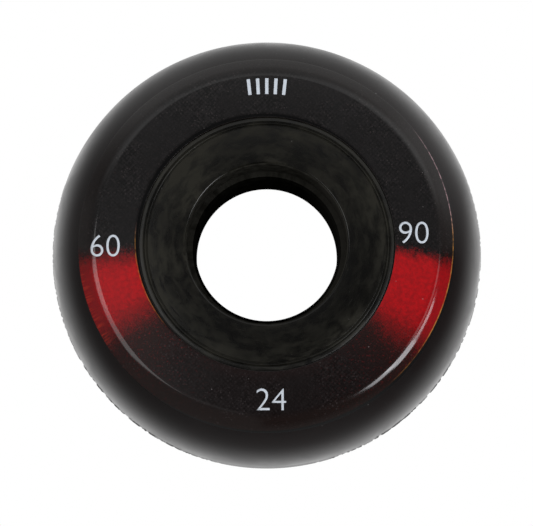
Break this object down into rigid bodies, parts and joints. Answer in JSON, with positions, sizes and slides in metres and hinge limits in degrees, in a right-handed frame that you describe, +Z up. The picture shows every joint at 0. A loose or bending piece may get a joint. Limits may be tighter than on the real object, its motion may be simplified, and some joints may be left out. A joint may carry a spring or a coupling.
{
  "type": "inline skate wheel",
  "caption": "Round urethane skate wheel cast on a moulded core, with a bearing seat on each side of a central bore, a rounded tread and a printed film on each side face.",
  "frame": {"origin": "centre of the wheel, on its spin axis and in its middle plane", "axes": "+Y along the spin axis, towards the back face; the front face looks along -Y; +Z up with the numbers upright"},
  "size_m": [0.06, 0.024, 0.06],
  "materials": {
    "urethane": "black cast urethane with a satin skin",
    "core": "satin black moulded nylon",
    "film": "gloss film printed in red that fades to black"
  },
  "bodies": {
    "root": {"tyre": "urethane", "hub_core": "core", "front_print": "film", "back_print": "film"}
  },
  "joints": []
}
